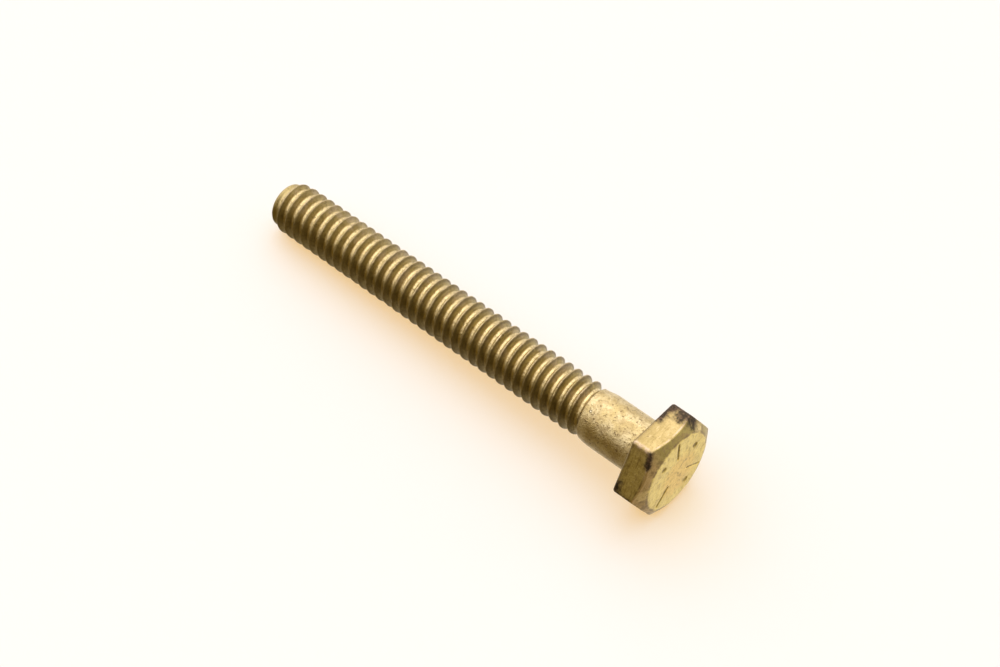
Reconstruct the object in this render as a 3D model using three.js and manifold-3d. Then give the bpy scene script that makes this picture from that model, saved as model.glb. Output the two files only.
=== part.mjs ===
// Hex bolt with a short plain shank and a long rolled thread, 1/4 in diameter, 20 threads per inch.
//
// Frame, in millimetres: the origin is the centre of the head's top face, +X points out of that face along the
// bolt's axis, so the shank and thread run towards -X, and +Z is square to one of the six wrench flats.
// Angles around the axis are measured from +Y towards +Z, which makes a right-hand thread climb towards +X.

import * as THREE from 'three';
import { mergeVertices } from 'three/addons/utils/BufferGeometryUtils.js';
import Module from 'manifold-3d';

// Head
const acrossFlats = 11.05;
const headHeight = 3.45;
const topFaceRadius = 4.75;
const chamferAngle = 32;
const filletRadius = 0.35;
const neckLength = 0.6;

// Shank and thread, as distances below the bearing face
const lengthUnderHead = 53.5;
const shankRadius = 3.1;
const taperStart = 6.4;
const threadNodeStart = 7.15;
const taperEnd = 7.95;
const fullCrestFrom = 9.15;
const pointNodeStart = 50.8;
const pointStart = 51.85;

// Thread
const pitch = 1.27;
const crestRadius = 3.1;
const lastCrestRadius = 3.0;
const rootRadius = 2.4;
const taperEndRadius = 2.87;
const pointMiddleRadius = 2.78;
const endRadius = 2.4;
const crestFlat = pitch / 8;
const rootFlat = pitch / 4;
const crestAngle = 31;             // a crest crosses this angle at crestBelow
const crestBelow = 9.29;
const runOutAngle = 250;           // the groove starts to fade here, on its last turn towards the head
const runOutSweep = 90;
const stepsPerTurn = 24;

// Sunk marks on the top face: three radial lines, and a plain dot between each two
const lineAngles = [88, -32, -137];
const dotAngles = [30, 132, -63];
const lineInner = 1.95;
const lineOuter = 4.35;
const lineWidth = 0.22;
const dotRadius = 0.34;
const dotAt = 3.3;
const markDepth = 0.12;

const roundSteps = 60;
const bearingX = -headHeight;
const below = (distance) => bearingX - distance;
const endX = below(lengthUnderHead);

const wasm = await Module();
wasm.setup();

function toManifold(geometry) {
  geometry.deleteAttribute('normal');
  geometry.deleteAttribute('uv');
  const merged = mergeVertices(geometry, 1e-5);
  const vertProperties = new Float32Array(merged.attributes.position.array);
  const triVerts = new Uint32Array(merged.index.array);
  return new wasm.Manifold(new wasm.Mesh({ numProp: 3, vertProperties, triVerts }));
}

function toGeometry(solid) {
  const { vertProperties, triVerts } = solid.getMesh();
  const geometry = new THREE.BufferGeometry();
  geometry.setAttribute('position', new THREE.BufferAttribute(vertProperties, 3));
  geometry.setIndex(new THREE.BufferAttribute(triVerts, 1));
  geometry.computeVertexNormals();
  return geometry;
}

// A solid of revolution about the X axis from [x, radius] points that go from +X to -X.
function turned(points) {
  const profile = points.map(([x, radius]) => new THREE.Vector2(radius, x)).reverse();
  return new THREE.LatheGeometry(profile, roundSteps).rotateZ(-Math.PI / 2);
}

// The head: a hexagonal bar cut to length and turned to a cone at its top, with the marks sunk into the top
// face, joined to a short neck through the fillet under the bearing face.
function hexHead() {
  const acrossCorners = acrossFlats / Math.cos(Math.PI / 6);
  const bar = new THREE.CylinderGeometry(acrossCorners / 2, acrossCorners / 2, headHeight, 6);
  bar.rotateZ(-Math.PI / 2).rotateX(Math.PI / 2).translate(-headHeight / 2, 0, 0);

  const outside = acrossCorners;
  const coneDrop = (outside - topFaceRadius) * Math.tan(THREE.MathUtils.degToRad(chamferAngle));
  const cone = turned([
    [0, 0], [0, topFaceRadius], [-coneDrop, outside], [-2 * coneDrop, outside], [-2 * coneDrop, 0],
  ]);

  const neck = [[-headHeight / 2, 0], [-headHeight / 2, shankRadius + filletRadius]];
  const filletSteps = 6;
  for (let i = 0; i <= filletSteps; i++) {
    const angle = (i / filletSteps) * Math.PI / 2;
    const x = below(filletRadius * (1 - Math.cos(angle)));
    neck.push([x, shankRadius + filletRadius * (1 - Math.sin(angle))]);
  }
  neck.push([below(neckLength), shankRadius], [below(neckLength), 0]);

  let head = toManifold(bar).intersect(toManifold(cone)).add(toManifold(turned(neck)));
  for (const mark of faceMarks()) {
    head = head.subtract(toManifold(mark));
  }
  return toGeometry(head);
}

function faceMarks() {
  const marks = [];
  for (const angle of lineAngles) {
    const line = new THREE.BoxGeometry(2 * markDepth, lineOuter - lineInner, lineWidth);
    line.translate(0, (lineInner + lineOuter) / 2, 0);
    marks.push(line.rotateX(THREE.MathUtils.degToRad(angle)));
  }
  for (const angle of dotAngles) {
    const dot = new THREE.CylinderGeometry(dotRadius, dotRadius, 2 * markDepth, 12);
    dot.rotateZ(Math.PI / 2).translate(0, dotAt, 0);
    marks.push(dot.rotateX(THREE.MathUtils.degToRad(angle)));
  }
  return marks;
}

// The plain shank: full size under the neck, then a taper down to where the thread node takes over.
function plainShank() {
  return turned([
    [below(neckLength), 0],
    [below(neckLength), shankRadius],
    [below(taperStart), shankRadius],
    [below(threadNodeStart), outerRadius(threadNodeStart)],
    [below(threadNodeStart), 0],
  ]);
}

// Outline that the crests reach, against distance below the bearing face.
function outerRadius(distance) {
  const outline = [
    [taperStart, shankRadius],
    [taperEnd, taperEndRadius],
    [fullCrestFrom, crestRadius],
    [pointStart, lastCrestRadius],
    [(pointStart + 2 * lengthUnderHead) / 3, pointMiddleRadius],
    [lengthUnderHead, endRadius],
  ];
  const next = Math.max(1, outline.findIndex(([at]) => at >= distance - 1e-9));
  const [from, fromRadius] = outline[next - 1];
  const [to, toRadius] = outline[next];
  return THREE.MathUtils.mapLinear(distance, from, to, fromRadius, toRadius);
}

// Height of the thread form, from 0 on the root flat to 1 on the crest flat, at a position in pitches from a
// crest. The flanks are straight.
function threadForm(pitches) {
  const fromCrest = Math.abs(pitches - Math.round(pitches)) * pitch;
  const flank = (pitch - crestFlat - rootFlat) / 2;
  return THREE.MathUtils.clamp(1 - (fromCrest - crestFlat / 2) / flank, 0, 1);
}

// Radius of the threaded surface at a distance below the bearing face and an angle in turns. The groove fades
// out over its last part turn, so that the thread doesn't stop with a wall.
function threadRadius(distance, turns) {
  const pitches = (crestBelow - distance) / pitch - (turns - crestAngle / 360);
  const grooveTurns = Math.floor(pitches) + turns;
  const fade = THREE.MathUtils.smoothstep(grooveTurns, runOutAngle / 360, (runOutAngle + runOutSweep) / 360);
  const outer = outerRadius(distance);
  const depth = Math.max(0, outer - rootRadius) * (1 - threadForm(pitches)) * (1 - fade);
  return outer - depth;
}

// A closed solid of the thread between two square planes. Its rows of points follow the helix, four to a pitch
// along the edges of the crest and root flats, and the rows are cut off at the two planes.
function threadSolid(startBelow, endBelow) {
  const rowOffsets = [-crestFlat / 2, crestFlat / 2, (pitch - rootFlat) / 2, (pitch + rootFlat) / 2];
  const firstPitch = Math.floor((crestBelow - endBelow) / pitch) - 3;
  const lastPitch = Math.ceil((crestBelow - startBelow) / pitch) + 2;
  const rows = [];
  for (let k = firstPitch; k <= lastPitch; k++) {
    for (const offset of rowOffsets) {
      rows.push(below(crestBelow) + (k - crestAngle / 360) * pitch + offset);
    }
  }

  const low = below(endBelow);
  const high = below(startBelow);
  const snap = 0.01;
  const positions = [];
  for (let i = 0; i <= stepsPerTurn; i++) {
    const turns = i / stepsPerTurn;
    const angle = 2 * Math.PI * (i % stepsPerTurn) / stepsPerTurn;
    for (const row of rows) {
      let x = THREE.MathUtils.clamp(row + pitch * turns, low, high);
      x = x - low < snap ? low : x;
      x = high - x < snap ? high : x;
      const radius = threadRadius(bearingX - x, turns);
      positions.push(x, radius * Math.cos(angle), radius * Math.sin(angle));
    }
  }
  const lowCentre = positions.length / 3;
  positions.push(low, 0, 0, high, 0, 0);

  const index = [];
  const count = rows.length;
  for (let i = 0; i < stepsPerTurn; i++) {
    for (let j = 0; j + 1 < count; j++) {
      const a = i * count + j;
      const b = a + count;
      index.push(a, b, a + 1, a + 1, b, b + 1);
    }
    index.push(i * count, lowCentre, (i + 1) * count);
    index.push((i + 1) * count - 1, (i + 2) * count - 1, lowCentre + 1);
  }

  const geometry = new THREE.BufferGeometry();
  geometry.setAttribute('position', new THREE.Float32BufferAttribute(positions, 3));
  geometry.setIndex(index);
  return withoutFlatTriangles(mergeVertices(geometry, 1e-4));
}

// Rows that were cut off at an end plane share their points there, so their triangles have no area.
function withoutFlatTriangles(geometry) {
  const old = geometry.index.array;
  const kept = [];
  for (let i = 0; i < old.length; i += 3) {
    const [a, b, c] = [old[i], old[i + 1], old[i + 2]];
    if (a !== b && b !== c && c !== a) {
      kept.push(a, b, c);
    }
  }
  geometry.setIndex(kept);
  geometry.computeVertexNormals();
  return geometry;
}

function plated(color, roughness) {
  return new THREE.MeshStandardMaterial({ color, roughness, metalness: 0.9 });
}

function piece(name, geometry, material) {
  const mesh = new THREE.Mesh(geometry, material);
  mesh.name = name;
  return mesh;
}

const bolt = new THREE.Group();
bolt.add(piece('hex_head', hexHead(), plated(0xc1a46c, 0.45)));
bolt.add(piece('plain_shank', plainShank(), plated(0xcfb586, 0.5)));
bolt.add(piece('thread', threadSolid(threadNodeStart, pointNodeStart), plated(0xa88a4e, 0.4)));
bolt.add(piece('chamfered_point', threadSolid(pointNodeStart, lengthUnderHead), plated(0x8a7038, 0.45)));

export default bolt;
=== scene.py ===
"""A worn hex bolt, lying on a pale table: a forged hexagon head, a short plain shank and a long rolled thread."""
import math
import random

import bpy
import numpy as np
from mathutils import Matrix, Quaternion, Vector, noise


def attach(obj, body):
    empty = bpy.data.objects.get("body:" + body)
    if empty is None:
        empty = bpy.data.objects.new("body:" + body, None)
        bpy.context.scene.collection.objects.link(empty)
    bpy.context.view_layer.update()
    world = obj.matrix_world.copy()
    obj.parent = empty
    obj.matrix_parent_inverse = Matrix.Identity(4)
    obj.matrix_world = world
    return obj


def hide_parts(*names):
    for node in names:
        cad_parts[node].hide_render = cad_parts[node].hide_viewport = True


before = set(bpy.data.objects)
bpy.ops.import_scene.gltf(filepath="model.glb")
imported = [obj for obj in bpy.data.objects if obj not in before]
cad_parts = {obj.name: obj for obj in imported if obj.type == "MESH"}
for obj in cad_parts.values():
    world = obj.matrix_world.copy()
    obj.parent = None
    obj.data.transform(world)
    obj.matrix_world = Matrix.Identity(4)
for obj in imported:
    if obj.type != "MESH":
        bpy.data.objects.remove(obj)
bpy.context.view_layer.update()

MM = 0.001


# The camera: a long lens that looks down at the bolt from its head end, a little rolled.
look_at = Vector((-25.89, 1.634, 0)) * MM
camera_distance = 245.2 * MM
camera_azimuth, camera_elevation, camera_roll = math.radians(43.63), math.radians(50.9), math.radians(-2.06)
towards_camera = Vector((
    math.sin(camera_azimuth) * math.cos(camera_elevation),
    -math.cos(camera_azimuth) * math.cos(camera_elevation),
    math.sin(camera_elevation),
))
bpy.ops.object.camera_add(location=look_at + towards_camera * camera_distance)
camera = bpy.context.object
camera.rotation_mode = "QUATERNION"
camera.rotation_quaternion = towards_camera.to_track_quat("Z", "Y") @ Quaternion((0, 0, 1), camera_roll)
camera.data.lens = 81.92
camera.data.clip_start = 0.01
bpy.context.scene.camera = camera
bpy.context.scene.view_settings.view_transform = "Standard"


# The table: a plain pale sheet. The bolt lies on it on one edge of its head and on the last crests of its
# thread, so the sheet is tilted a little in the bolt's own frame.
class Wire:
    """One output of a shader node, which can be used in sums."""

    def __init__(self, finish, socket):
        self.finish, self.socket = finish, socket

    def math(self, operation, *others):
        return self.finish.node("ShaderNodeMath", {"operation": operation}, dict(enumerate((self, *others))))

    def __add__(self, other):
        return self.math("ADD", other)

    __radd__ = __add__

    def __sub__(self, other):
        return self.math("SUBTRACT", other)

    def __rsub__(self, other):
        return self.math("MULTIPLY_ADD", -1.0, other)

    def __mul__(self, other):
        return self.math("MULTIPLY", other)

    __rmul__ = __mul__

    def __truediv__(self, other):
        return self.math("DIVIDE", other)


class Finish:
    """The nodes of a material, or of the room."""

    def __init__(self, owner):
        self.owner = owner
        owner.use_nodes = True
        self.tree = owner.node_tree
        self.tree.nodes.clear()

    def node(self, kind, settings=None, values=None, out=0):
        made = self.tree.nodes.new(kind)
        for name, value in (settings or {}).items():
            setattr(made, name, value)
        for name, value in (values or {}).items():
            if isinstance(value, Wire):
                self.tree.links.new(value.socket, made.inputs[name])
            else:
                made.inputs[name].default_value = value
        return Wire(self, made.outputs[out])

    def place(self):
        """The point on the object as one vector, and its three numbers in millimetres."""
        point = self.node("ShaderNodeTexCoord", out="Object")
        split = self.node("ShaderNodeSeparateXYZ", values={0: point}).socket.node
        return point, [Wire(self, output) / MM for output in split.outputs]

    def rise(self, value, low, high):
        """0 where the value is below low, 1 above high, and a smooth step between. It falls if low is above high."""
        if low > high:
            return 1 - self.rise(value, high, low)
        return self.node("ShaderNodeMapRange", {"interpolation_type": "SMOOTHSTEP"},
                         {"Value": value, "From Min": low, "From Max": high})

    def speckle(self, point, size, detail=2.0, roughness=0.5):
        """Cloudy noise from 0 to 1, with spots of about this many millimetres."""
        return self.node("ShaderNodeTexNoise",
                         values={"Vector": point, "Scale": 1 / (size * MM), "Detail": detail, "Roughness": roughness})

    def blend(self, mask, first, second):
        """The first colour where the mask is 0, and the second where it is 1."""
        colours = {"Factor": mask, 6: first, 7: second}
        colours = {k: (*v, 1) if isinstance(v, tuple) else v for k, v in colours.items()}
        return self.node("ShaderNodeMix", {"data_type": "RGBA"}, colours, out=2)

    def near(self, point, centre, reach, ragged=None):
        """1 at a centre, in millimetres, falling to 0 at this reach. A noise can make the outline ragged."""
        away = self.node("ShaderNodeVectorMath", {"operation": "DISTANCE"},
                         {0: point, 1: Vector(centre) * MM}, out="Value") / (reach * MM)
        if ragged is not None:
            away = away + (ragged - 0.5) * 1.2
        return self.rise(away, 1.0, 0.45)

    def along(self, point, start, end, reach, ragged):
        """1 on a straight line between two places, in millimetres, falling to 0 at this reach; ragged by a noise."""
        start, step = Vector(start) * MM, (Vector(end) - Vector(start)) * MM
        from_start = self.node("ShaderNodeVectorMath", {"operation": "SUBTRACT"}, {0: point, 1: start})
        part = self.node("ShaderNodeVectorMath", {"operation": "DOT_PRODUCT"},
                         {0: from_start, 1: step / step.length_squared}, out="Value")
        part = part.math("MAXIMUM", 0.0).math("MINIMUM", 1.0)
        foot = self.node("ShaderNodeVectorMath", {"operation": "SCALE"}, {0: step, "Scale": part})
        away = self.node("ShaderNodeVectorMath", {"operation": "DISTANCE"},
                         {0: from_start, 1: foot}, out="Value") / (reach * MM)
        return self.rise(away + (ragged - 0.5) * 2.4, 1.1, 0.2)

    def surface(self, shader, kind="ShaderNodeOutputMaterial"):
        output = self.tree.nodes.new(kind)
        self.tree.links.new(shader.socket, output.inputs["Surface"])


def pick(thing):
    """Selects one object alone, and makes it the active one."""
    bpy.ops.object.select_all(action="DESELECT")
    thing.select_set(True)
    bpy.context.view_layer.objects.active = thing


def apply_place(thing):
    """Moves an object's place, turn and scale into its mesh."""
    pick(thing)
    bpy.ops.object.transform_apply(location=True, rotation=True, scale=True)


table_size = 0.36
table_contact = Vector((-3.45, 0, -5.53)) * MM
table_tilt = math.radians(2.84)
bpy.ops.mesh.primitive_plane_add(size=table_size, location=table_contact, rotation=(0, table_tilt, 0))
table = bpy.context.object
table.name = "table"
# The sheet glows a warm orange of its own: painted warm light that fills the bolt's shadow on it and turns it peach.
sheet = Finish(bpy.data.materials.new("pale_table"))
sheet.surface(sheet.node("ShaderNodeBsdfPrincipled", values={
    "Base Color": (0.17, 0.355, 0.59, 1),
    "Roughness": 0.6,
    "Specular IOR Level": 0.2,
    "Emission Color": (1.0, 0.6, 0.19, 1),
    "Emission Strength": 0.77,
}))
table.data.materials.append(sheet.owner)
table.visible_glossy = False


# The light: one wide soft light overhead, from a little towards the bolt's point, and a room that is bright
# behind the bolt and above it, and dim on the side that the bolt is seen from.
key_from = Vector((-0.435, -0.025, 0.9))
bpy.ops.object.light_add(type="SUN")
key = bpy.context.object
key.rotation_mode = "QUATERNION"
key.rotation_quaternion = key_from.to_track_quat("Z", "Y")
key.data.energy = 2.9
key.data.angle = math.radians(110)
key.data.color = (1.0, 0.98, 0.97)

room = Finish(bpy.data.worlds.new("room"))
bpy.context.scene.world = room.owner
direction = room.node("ShaderNodeTexCoord", out="Generated")
towards_window = room.node("ShaderNodeVectorMath", {"operation": "DOT_PRODUCT"},
                           {0: direction, 1: (-0.15, 1.0, 0.0)}, out="Value")
walls = room.blend(room.rise(towards_window, -0.9, 0.8), (0.22, 0.143, 0.012), (1.3, 1.2, 1.05))
walls = room.node("ShaderNodeBackground", values={"Color": walls})
backdrop = room.node("ShaderNodeBackground", values={"Color": (1.0, 0.98, 0.91, 1)})
seen = room.node("ShaderNodeLightPath", out="Is Camera Ray")
room.surface(room.node("ShaderNodeMixShader", values={0: seen, 1: walls, 2: backdrop}), "ShaderNodeOutputWorld")


# The head: steel forged to a hexagon and turned to a cone at its top, with a short neck that runs into it
# through a fillet. It is zinc plated and yellow passivated, and its edges and corners are worn.
across_flats = 11.05 * MM
across_corners = across_flats / math.cos(math.radians(30))
head_height = 3.45 * MM
top_face_radius = 4.75 * MM
chamfer_slope = math.tan(math.radians(32))
fillet_radius = 0.35 * MM
shank_radius = 3.1 * MM
neck_end = -4.05 * MM


def cut_with(piece, tool, operation):
    """Applies a Boolean with a tool, and deletes the tool."""
    apply_place(tool)
    pick(piece)
    boolean = piece.modifiers.new("cut", "BOOLEAN")
    boolean.operation, boolean.object, boolean.solver = operation, tool, "EXACT"
    bpy.ops.object.modifier_apply(modifier=boolean.name)
    bpy.data.objects.remove(tool)


def keep_between(piece, low, high):
    """Cuts a piece square to the bolt's axis at one or two places, and closes the cuts."""
    pick(piece)
    bpy.ops.object.mode_set(mode="EDIT")
    for plane_x, outwards in ((low, -1), (high, 1)):
        if plane_x is not None:
            bpy.ops.mesh.select_all(action="SELECT")
            bpy.ops.mesh.bisect(plane_co=(plane_x, 0, 0), plane_no=(outwards, 0, 0), use_fill=True,
                                clear_outer=True, threshold=1e-7)
    bpy.ops.object.mode_set(mode="OBJECT")


bpy.ops.mesh.primitive_cylinder_add(vertices=6, radius=across_corners / 2, depth=head_height,
                                    location=(-head_height / 2, 0, 0), rotation=(0, math.pi / 2, 0))
head = bpy.context.object
head.name = "worn_hex_head"
apply_place(head)
bpy.ops.object.mode_set(mode="EDIT")
worn_angle, worn_to = math.radians(210), 5.34 * MM      # one flat has been worn lower than the other five
worn_flat = Vector((0, math.cos(worn_angle), math.sin(worn_angle)))
bpy.ops.mesh.select_all(action="SELECT")
bpy.ops.mesh.bisect(plane_co=worn_flat * worn_to, plane_no=worn_flat, use_fill=True, clear_outer=True)
bpy.ops.mesh.select_all(action="SELECT")
bpy.ops.mesh.dissolve_limited(angle_limit=math.radians(1))
bpy.ops.object.mode_set(mode="OBJECT")
rolled_over = head.modifiers.new("rolled_over_edges", "BEVEL")
rolled_over.limit_method, rolled_over.angle_limit = "ANGLE", math.radians(40)
rolled_over.width, rolled_over.segments = 0.3 * MM, 6
bpy.ops.object.modifier_apply(modifier=rolled_over.name)

cone_depth = 4.5 * MM
bpy.ops.mesh.primitive_cone_add(vertices=180, radius1=top_face_radius + cone_depth / chamfer_slope,
                                radius2=top_face_radius, depth=cone_depth,
                                location=(-cone_depth / 2, 0, 0), rotation=(0, math.pi / 2, 0))
cone = bpy.context.object
soft_rim = cone.modifiers.new("soft_rim", "BEVEL")
soft_rim.limit_method, soft_rim.angle_limit = "ANGLE", math.radians(20)
soft_rim.width, soft_rim.segments = 0.3 * MM, 5
bpy.ops.object.modifier_apply(modifier=soft_rim.name)
cut_with(head, cone, "INTERSECT")

bpy.ops.mesh.primitive_circle_add(vertices=180, radius=shank_radius + fillet_radius, fill_type="NGON",
                                  location=(-head_height / 2, 0, 0), rotation=(0, math.pi / 2, 0))
neck = bpy.context.object
apply_place(neck)
bpy.ops.object.mode_set(mode="EDIT")
bpy.ops.mesh.select_all(action="SELECT")
ring_x, ring_radius = -head_height / 2, shank_radius + fillet_radius
fillet_steps = 8
rings = [(-head_height, ring_radius)]
for i in range(1, fillet_steps + 1):
    angle = i / fillet_steps * math.pi / 2
    rings.append((-head_height - fillet_radius * (1 - math.cos(angle)),
                  shank_radius + fillet_radius * (1 - math.sin(angle))))
rings.append((neck_end - 0.5 * MM, shank_radius))
for next_x, next_radius in rings:
    bpy.ops.mesh.extrude_region_move(TRANSFORM_OT_translate={"value": (next_x - ring_x, 0, 0)})
    scale = next_radius / ring_radius
    bpy.ops.transform.resize(value=(1, scale, scale), center_override=(next_x, 0, 0))
    ring_x, ring_radius = next_x, next_radius
bpy.ops.mesh.select_all(action="SELECT")
bpy.ops.mesh.normals_make_consistent(inside=False)
bpy.ops.object.mode_set(mode="OBJECT")
cut_with(head, neck, "UNION")

voxel_size = 0.07 * MM
head.data.remesh_voxel_size = voxel_size
bpy.ops.object.voxel_remesh()
worn_edges = head.modifiers.new("worn_edges", "SMOOTH")
worn_edges.factor, worn_edges.iterations = 0.5, 7
bpy.ops.object.modifier_apply(modifier=worn_edges.name)

line_angles = (88, -32, -137)
dot_angles = (30, 132, -63)
line_inner, line_outer, line_half_width = 1.95, 4.35, 0.12
dot_at, dot_radius = 3.3, 0.34
mark_depth = 0.13


def mark_distance(y, z):
    """Millimetres from the middle of the nearest sunk mark on the top face to its edge; negative inside."""
    nearest = 9.0
    for degrees in line_angles:
        angle = math.radians(degrees)
        along, across = y * math.cos(angle) + z * math.sin(angle), z * math.cos(angle) - y * math.sin(angle)
        outside = max(line_inner - along, along - line_outer, 0)
        nearest = min(nearest, math.hypot(outside, across) - line_half_width)
    for degrees in dot_angles:
        angle = math.radians(degrees)
        nearest = min(nearest, math.hypot(y - dot_at * math.cos(angle), z - dot_at * math.sin(angle)) - dot_radius)
    return nearest


for vertex, normal in zip(head.data.vertices, [v.normal.copy() for v in head.data.vertices]):
    at = vertex.co / MM
    if at.x > -3.3:
        uneven = noise.noise(at * 0.6) * 0.03 + noise.noise(at * 2.3) * 0.012 + noise.noise(at * 5.5) * 0.005
        at += normal * uneven
    if at.x > -0.15:
        at.x -= mark_depth * (1 - min(max((mark_distance(at.y, at.z) + 0.06) / 0.12, 0), 1))
    vertex.co = at * MM
keep_between(head, neck_end, None)
bpy.ops.object.shade_smooth_by_angle(angle=math.radians(35))


def zinc(name):
    """Yellow zinc plating that has aged: its nodes, the place on the bolt, and three noises of falling size."""
    finish = Finish(bpy.data.materials.new(name))
    point, (x, y, z) = finish.place()
    cloud = finish.speckle(point, 1.5, 3)
    mottle = finish.speckle(point, 0.42, 3, 0.6)
    grain = finish.speckle(point, 0.1, 3, 0.6)
    return finish, point, (x, y, z), (cloud, mottle, grain)


def plate(finish, colour, roughness, height):
    """Closes a finish as metal under a thin clear coat, with this height as its bump."""
    bump = finish.node("ShaderNodeBump", values={"Strength": 0.6, "Distance": 0.02 * MM, "Height": height})
    finish.surface(finish.node("ShaderNodeBsdfPrincipled", values={
        "Base Color": colour, "Metallic": 1.0, "Roughness": roughness, "Normal": bump,
        "Coat Weight": 0.25, "Coat Roughness": 0.35,
    }))


def shank_plating(finish, point, cloud, mottle):
    """The matt, finely pitted plating of the shank: its colour, where its pits are, and its pebbled surface."""
    pebble = finish.speckle(point, 0.25, 2, 0.5)
    colour = finish.blend(finish.rise(cloud, 0.35, 0.65), (0.59, 0.49, 0.29), (0.47, 0.365, 0.17))
    colour = finish.blend(finish.rise(mottle, 0.45, 0.75) * 0.7, colour, (0.36, 0.265, 0.11))
    blotch = finish.rise(finish.speckle(point, 0.8, 5, 0.7), 0.48, 0.6)
    colour = finish.blend(blotch * 0.6, colour, (0.35, 0.255, 0.12))
    pits = finish.rise(pebble, 0.55, 0.64) * finish.rise(mottle, 0.4, 0.56)
    return finish.blend(pits * 0.65, colour, (0.13, 0.085, 0.035)), pits, pebble


finish, point, (x, y, z), (cloud, mottle, grain) = zinc("yellow_zinc_head")
radius = (y * y + z * z).math("SQRT")
sixth = math.pi / 3
from_flat = (z.math("ARCTAN2", y) / sixth + 6).math("FRACT") - 0.5
across_flat = radius * (from_flat * sixth).math("COSINE")
smear = finish.speckle(point, 0.9, 4, 0.65)
face = finish.rise(radius + (smear - 0.5) * 0.6, 4.86, 4.6) * finish.rise(x, -0.2, -0.08)
vertical_edge = finish.rise(radius + (mottle - 0.5) * 0.2, 6.16, 6.28)
chamfer_gap = (radius - 4.75) * 0.53 + x * 0.848
chamfer = finish.rise(chamfer_gap, -0.13, -0.06) * (1 - face)
side = finish.rise(across_flat, 5.12, 5.24) * (1 - chamfer) * finish.rise(x, -3.42, -3.3)
chamfer_edge = side * finish.rise(chamfer_gap, -0.3, -0.16)
edges = vertical_edge.math("MAXIMUM", chamfer_edge)

streaked = finish.node("ShaderNodeVectorMath", {"operation": "MULTIPLY"}, {0: point, 1: (3.0, 0.8, 0.8)})
brushed = finish.speckle(streaked, 0.7, 4, 0.65)
colour = finish.blend(finish.rise(cloud, 0.35, 0.65), (0.47, 0.36, 0.165), (0.41, 0.31, 0.13))
by_bearing = side * finish.rise(x + (smear - 0.5) * 1.4, -1.9, -3.1)
colour = finish.blend(by_bearing * 0.55, colour, (0.3, 0.22, 0.085))
colour = finish.blend(finish.rise(brushed, 0.52, 0.68) * side * 0.6, colour, (0.27, 0.2, 0.075))
colour = finish.blend(finish.rise(brushed, 0.46, 0.3) * side * 0.6, colour, (0.6, 0.48, 0.28))
# Painted light: the flats on the near, -y side get a lighter, greener olive base, with dark brushed streaks over it.
flats_painted_light_low_y = side * finish.rise(y, -3.2, -3.8)
colour = finish.blend(flats_painted_light_low_y * 0.75, colour, (0.53, 0.43, 0.15))
colour = finish.blend(flats_painted_light_low_y * finish.rise(brushed, 0.48, 0.62) * 0.75, colour, (0.28, 0.2, 0.065))
back_edge = finish.rise(x + (mottle - 0.5) * 0.5, -2.95, -3.25) * finish.rise(across_flat, 4.9, 5.2)
colour = finish.blend(back_edge * 0.75, colour, (0.2, 0.14, 0.06))
upper_chamfer = finish.rise(z + (smear - 0.5) * 2, -2.0, 2.5)
chamfer_colour = finish.blend(upper_chamfer, (0.4, 0.31, 0.17), (0.37, 0.3, 0.1))
# Painted light: the chamfer is painted lighter on the near, -y side.
chamfer_painted_light_low_y = finish.rise(y + (smear - 0.5) * 2, -2.2, -3.6)
chamfer_colour = finish.blend(chamfer_painted_light_low_y, chamfer_colour, (0.56, 0.41, 0.2))
chamfer_colour = finish.blend(finish.rise(smear, 0.5, 0.66) * 0.75, chamfer_colour, (0.28, 0.2, 0.1))
pale = finish.near(point, (-0.23, 3.56, 3.67), 1.0, smear)
pale = pale.math("MAXIMUM", finish.near(point, (-0.3, -5.18, 0.66), 1.0, smear))
chamfer_colour = finish.blend(pale * 0.8, chamfer_colour, (0.74, 0.6, 0.3))
colour = finish.blend(chamfer, colour, chamfer_colour)
face_colour = finish.blend(finish.rise(cloud, 0.35, 0.65), (0.78, 0.64, 0.22), (0.7, 0.56, 0.19))
face_middle = finish.near(point, (0, 0.32, -0.72), 3.4, smear)
face_colour = finish.blend(face_middle * 0.6, face_colour, (0.76, 0.52, 0.16))
face_colour = finish.blend(finish.rise(smear, 0.52, 0.68) * 0.55, face_colour, (0.5, 0.37, 0.13))
colour = finish.blend(face, colour, face_colour)
colour = finish.blend(finish.rise(mottle, 0.45, 0.75) * 0.6, colour, (0.34, 0.25, 0.09))
rim = finish.rise((radius - 4.78).math("ABSOLUTE"), 0.22, 0.04) * finish.rise(x, -0.5, -0.3)
colour = finish.blend(rim * finish.rise(smear, 0.36, 0.54) * 0.6, colour, (0.22, 0.15, 0.07))
# Worn edges: pale pink on the upper edges as a painted highlight, dark brown on the lower ones as painted shade.
lit_edge = finish.rise(z, 2.0, 4.0)
colour = finish.blend(edges * finish.rise(smear, 0.62, 0.42) * 0.6, colour,
                      finish.blend(lit_edge, (0.2, 0.145, 0.06), (0.62, 0.47, 0.37)))
pits = finish.rise(grain, 0.56, 0.7) * finish.rise(mottle, 0.4, 0.58)
colour = finish.blend(pits * (1 - face * 0.75) * 0.65, colour, (0.08, 0.055, 0.02))
soot = (mottle + smear) * 0.5
burnt = finish.near(point, (-3.3, 2.9, 5.6), 1.5, soot)
for start, end, reach in (
    ((-3.4, 3.19, 5.52), (-3.3, 0.8, 5.53), 0.8), ((-3.4, 3.19, 5.52), (-0.9, 3.3, 5.4), 0.95),
    ((-1.5, 2.5, 5.53), (-0.7, 3.3, 4.9), 1.3), ((-1.0, -3.35, 5.3), (-0.75, -4.0, 4.2), 0.6),
    ((-3.3, -5.9, 1.1), (-3.3, -6.2, -0.8), 0.95), ((-3.3, -6.38, 0.0), (-1.6, -6.38, 0.0), 0.7),
    ((-3.3, 3.1, -5.5), (-3.3, 5.8, -1.2), 0.6), ((-1.1, 6.2, -0.1), (-1.1, 4.6, 2.8), 0.4),
):
    burnt = burnt.math("MAXIMUM", finish.along(point, start, end, reach, soot))
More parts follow.
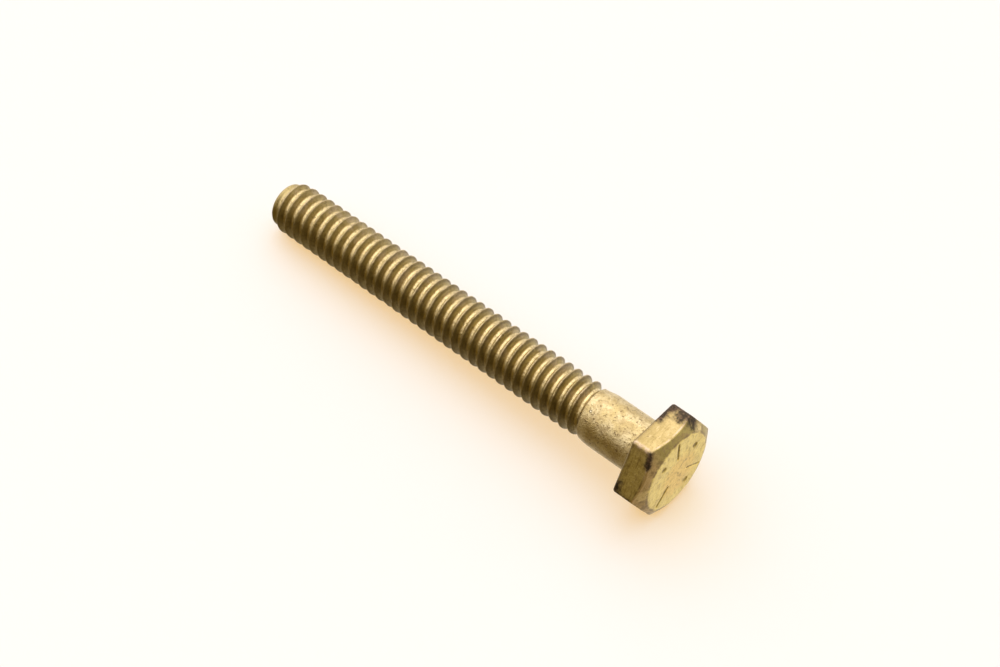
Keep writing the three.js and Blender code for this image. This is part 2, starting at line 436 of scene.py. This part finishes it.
burnt = burnt * finish.rise(grain, 0.05, 0.38)
burnt_colour = finish.blend(finish.rise(mottle, 0.42, 0.62), (0.022, 0.013, 0.008), (0.1, 0.058, 0.036))
colour = finish.blend(burnt * 0.95, colour, burnt_colour)

sunk = None
for degrees in line_angles:
    angle = math.radians(degrees)
    along = y * math.cos(angle) + z * math.sin(angle)
    aside = z * math.cos(angle) - y * math.sin(angle)
    line = finish.rise(aside.math("ABSOLUTE"), 0.16, 0.06)
    line = line * finish.rise(along, line_inner - 0.1, line_inner + 0.05)
    line = line * finish.rise(along, line_outer + 0.1, line_outer - 0.05)
    sunk = line if sunk is None else sunk.math("MAXIMUM", line)
for degrees in dot_angles:
    angle = math.radians(degrees)
    centre = (-0.05, dot_at * math.cos(angle), dot_at * math.sin(angle))
    dot = finish.near(point, centre, dot_radius * 1.3)
    sunk = sunk.math("MAXIMUM", dot)
colour = finish.blend(sunk * face * finish.rise(mottle, 0.25, 0.5) * 0.9, colour, (0.1, 0.07, 0.028))
neck_colour, _, _ = shank_plating(finish, point, cloud, mottle)
neck = finish.rise(x + (smear - 0.5) * 0.4, -3.62, -3.82)
colour = finish.blend(neck, colour, neck_colour)
roughness = 0.38 + mottle * 0.15 + burnt * 0.2 + chamfer * 0.08
plate(finish, colour, roughness, grain * 1.2 + mottle * 1.6 + smear * 2.5 - pits)
head.data.materials.clear()
head.data.materials.append(finish.owner)
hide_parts("hex_head")
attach(head, "root")


# The rolled shaft: the shank, the thread and the point are one bar, rolled between dies. One pitch of the
# thread is drawn as a line and wound round the axis. Then the bar is given its outline, the thread's fading
# start, and its wear, and it is cut where its zones meet.
bearing_face = -3.45
crest_below, crest_turn = 9.29, 31 / 360     # one crest crosses this turn at this distance under the head
pitch = 1.27
crest_radius, root_radius = 3.1, 2.4
groove_start, groove_fade = 250 / 360, 90 / 360
steps_per_turn = 96
outline_places = (-1.0, 6.4, 7.0, 7.95, 9.15, 51.85, 52.4, 53.1, 53.38, 53.47, 53.5, 55.0)
outline_radii = (3.1, 3.1, 3.04, 2.87, 3.1, 3.04, 2.92, 2.68, 2.48, 2.36, 2.22, 2.22)


def thread_line():
    """One pitch of the thread from the middle of a root to the next, as (x, height above the root)."""
    root_flat, root_arc, arc_steps, flank_lean = 0.07, 0.14, 4, math.radians(60)
    half, top = pitch / 2, crest_radius - root_radius
    up = [(0.0, 0.0)] + [(root_flat + root_arc * math.sin(i / arc_steps * flank_lean),
                          root_arc * (1 - math.cos(i / arc_steps * flank_lean))) for i in range(arc_steps + 1)]
    lip = (half - 0.095, top - 0.035)
    foot = up[-1]
    up += [(foot[0] + (lip[0] - foot[0]) * t, foot[1] + (lip[1] - foot[1]) * t) for t in (0.25, 0.5, 0.75, 1.0)]
    up += [(half - 0.06, top), (half - 0.025, top - 0.004), (half, top - 0.03)]
    return up + [(pitch - across, height) for across, height in reversed(up[:-1])]


turns_wound = 46
first_crest = bearing_face - crest_below + (0.25 - crest_turn) * pitch
line_start = Vector((first_crest - 37.5 * pitch, 0, root_radius)) * MM
bpy.ops.mesh.primitive_plane_add(size=pitch * MM, location=line_start)
shaft = bpy.context.object
shaft.name = "rolled_shaft"
apply_place(shaft)
bpy.ops.object.mode_set(mode="EDIT")
bpy.ops.mesh.select_all(action="SELECT")
bpy.ops.mesh.merge(type="CENTER")
line = thread_line()
for (from_x, from_height), (to_x, to_height) in zip(line, line[1:]):
    step = ((to_x - from_x) * MM, 0, (to_height - from_height) * MM)
    bpy.ops.mesh.extrude_vertices_move(TRANSFORM_OT_translate={"value": step})
bpy.ops.object.mode_set(mode="OBJECT")
winding = shaft.modifiers.new("winding", "SCREW")
winding.axis = "X"
winding.screw_offset = pitch * MM
winding.iterations = turns_wound
winding.steps = winding.render_steps = steps_per_turn
bpy.ops.object.modifier_apply(modifier=winding.name)
bpy.ops.object.mode_set(mode="EDIT")
bpy.ops.mesh.select_all(action="SELECT")
bpy.ops.mesh.remove_doubles(threshold=0.002 * MM)
bpy.ops.object.mode_set(mode="OBJECT")

nick_count = 90
dice = random.Random(7)
nicks = [(dice.uniform(-54, -13), dice.uniform(0, 2 * math.pi), dice.uniform(0.15, 0.4), dice.uniform(0.03, 0.09))
         for _ in range(nick_count)]
mesh = shaft.data
places = np.empty(len(mesh.vertices) * 3)
mesh.vertices.foreach_get("co", places)
places = places.reshape(-1, 3) / MM
along, radii = places[:, 0], np.hypot(places[:, 1], places[:, 2])
turns = np.arctan2(places[:, 2], places[:, 1]) / (2 * math.pi) % 1
below = bearing_face - along
sunk_part = (crest_radius - radii) / (crest_radius - root_radius)
outline = sum(np.interp(below + shift, outline_places, outline_radii) for shift in (-0.12, -0.06, 0, 0.06, 0.12)) / 5
pitches = (crest_below - below) / pitch - (turns - crest_turn)
fade = np.clip((np.floor(pitches) + turns - groove_start) / groove_fade, 0, 1)
fade = fade * fade * (3 - 2 * fade)
last_groove = 0.12 * np.clip((53.35 - below) / 0.3, 0, 1)
radii = outline - np.maximum(outline - root_radius, last_groove) * sunk_part * (1 - fade)
for nick_x, nick_angle, nick_size, nick_depth in nicks:
    around = (turns * 2 * math.pi - nick_angle + math.pi) % (2 * math.pi) - math.pi
    away = np.hypot(along - nick_x, around * crest_radius * 0.7) / nick_size
    radii = np.minimum(radii, outline - nick_depth * np.clip(1 - away * away, 0, 1))
lips = np.clip(1 - sunk_part * 6, 0, 1)
shake = np.array([(noise.noise(Vector(p) * 0.5), noise.noise(Vector(p) * 3.5), noise.noise(Vector(p) * 9))
                  for p in places])
radii += 0.012 * shake[:, 0] + 0.004 * shake[:, 1] + lips * (1 - fade) * (0.012 * shake[:, 1] + 0.012 * shake[:, 2])
places[:, 1] = radii * np.cos(turns * 2 * math.pi)
places[:, 2] = radii * np.sin(turns * 2 * math.pi)
mesh.vertices.foreach_set("co", (places * MM).ravel())
mesh.update()


def zone(name, low, high):
    """Cuts one zone out of the rolled shaft, between two places on the axis."""
    pick(shaft)
    bpy.ops.object.duplicate()
    piece = bpy.context.object
    piece.name = name
    keep_between(piece, low * MM, high * MM)
    bpy.ops.object.mode_set(mode="EDIT")
    bpy.ops.mesh.select_all(action="SELECT")
    bpy.ops.mesh.normals_make_consistent(inside=False)
    bpy.ops.object.mode_set(mode="OBJECT")
    bpy.ops.object.shade_smooth_by_angle(angle=math.radians(50))
    return piece


# The shank: the plain part under the head. Its plating is matt and thick with fine pits.
shank = zone("pitted_shank", -10.6, -4.05)
finish, point, (x, y, z), (cloud, mottle, grain) = zinc("yellow_zinc_shank")


colour, pits, pebble = shank_plating(finish, point, cloud, mottle)
# A small nodule drawn in colour only: a dark ring as its painted shade round a bright centre as its painted glint.
painted_nodule = (-10.4, -1.5, 2.71)
colour = finish.blend(finish.near(point, painted_nodule, 0.26) * 0.8, colour, (0.05, 0.035, 0.015))
colour = finish.blend(finish.near(point, painted_nodule, 0.13), colour, (0.85, 0.75, 0.55))
plate(finish, colour, 0.36 + mottle * 0.15, grain * 2.5 + mottle * 2 + pebble * 5 - pits * 2)
shank.data.materials.clear()
shank.data.materials.append(finish.owner)
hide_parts("plain_shank")
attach(shank, "root")


# The thread: 34 turns, rolled, so its roots are burnished and each crest keeps a fine seam between two lips.
# The lip on the head side of each crest is darkened, more so towards the head, and the flanks have aged to olive
# brown.
thread = zone("rolled_thread", -54.25, -10.6)
finish, point, (x, y, z), (cloud, mottle, grain) = zinc("yellow_zinc_thread")


def thread_finish(finish, point, x, y, z, cloud, mottle, grain):
    """The thread's plating, set out from the distance to the nearest crest: positive is towards the head."""
    radius = (y * y + z * z).math("SQRT")
    turn = z.math("ARCTAN2", y) / (2 * math.pi)
    phase = (x + (crest_below - bearing_face)) / pitch - turn + (crest_turn + 100.5)
    from_crest = (phase.math("FRACT") - 0.5) * pitch
    started = finish.rise(x, -11.0, -11.6)
    smear = finish.speckle(point, 0.8, 4, 0.7)
    plain_colour, _, pebble = shank_plating(finish, point, cloud, mottle)
    root = finish.rise(radius, 2.56, 2.44)
    crest = finish.rise(from_crest.math("ABSOLUTE"), 0.1, 0.05) * started
    ragged = from_crest + (mottle - 0.5) * 0.12
    lip = finish.rise(ragged, 0.03, 0.08) * finish.rise(ragged, 0.32, 0.16) * started
    lip = lip * (0.55 + finish.rise(x, -50.0, -34.0) * 0.45)
    colour = finish.blend(finish.rise(cloud, 0.35, 0.65), (0.42, 0.335, 0.14), (0.34, 0.265, 0.1))
    colour = finish.blend(finish.rise(mottle, 0.45, 0.7) * 0.6, colour, (0.26, 0.19, 0.065))
    # Pinkish mottles, kept off the near, -y side: real mottles, painted lighter where the light falls.
    pink = finish.rise(finish.speckle(point, 2.2, 3, 0.6), 0.5, 0.64) * finish.rise(y, -2.6, -1.2)
    colour = finish.blend(pink * 0.55, colour, (0.5, 0.4, 0.27))
    colour = finish.blend(root, colour, (0.74, 0.61, 0.34))
    colour = finish.blend(root * finish.rise(smear, 0.54, 0.66) * 0.7, colour, (0.36, 0.27, 0.11))
    colour = finish.blend(crest * finish.rise(smear, 0.62, 0.45) * 0.85, colour, (0.56, 0.45, 0.29))
    colour = finish.blend(lip * finish.rise(smear, 0.25, 0.45) * 0.65, colour, (0.09, 0.06, 0.025))
    # Painted shade: the thread is darkened on its near, -y side.
    thread_painted_shade_low_y = finish.rise(y + (smear - 0.5) * 1.5, -1.7, -2.5)
    colour = finish.blend(thread_painted_shade_low_y * 0.5, colour, (0.17, 0.125, 0.035))
    colour = finish.blend(finish.rise(pebble, 0.52, 0.66) * 0.35, colour, (0.16, 0.115, 0.04))
    pits = finish.rise(grain, 0.55, 0.66) * finish.rise(mottle, 0.4, 0.54)
    colour = finish.blend(pits * 0.8, colour, (0.05, 0.034, 0.012))
    end_band = finish.rise(x + (mottle - 0.5) * 0.3, -55.9, -56.4)
    colour = finish.blend(end_band * 0.75, colour, (0.3, 0.23, 0.09))
    colour = finish.blend(finish.rise(x + (smear - 0.5) * 1.2, -11.9, -11.0), colour, plain_colour)
    roughness = 0.36 + mottle * 0.14 - root * 0.06
    plate(finish, colour, roughness, grain * 3 + mottle * 2 + pebble * 5 + smear - pits * 2 - lip)


thread_finish(finish, point, x, y, z, cloud, mottle, grain)
thread.data.materials.clear()
thread.data.materials.append(finish.owner)
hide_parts("thread")
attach(thread, "root")


# The point: the last turns of the thread run out over a rounded chamfer to a flat, sheared end.
point_end = zone("chamfered_end", -56.95, -54.25)
bpy.ops.object.shade_smooth_by_angle(angle=math.radians(28))
finish, point, (x, y, z), (cloud, mottle, grain) = zinc("yellow_zinc_point")
thread_finish(finish, point, x, y, z, cloud, mottle, grain)
point_end.data.materials.clear()
point_end.data.materials.append(finish.owner)
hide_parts("chamfered_point")
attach(point_end, "root")
bpy.data.objects.remove(shaft)
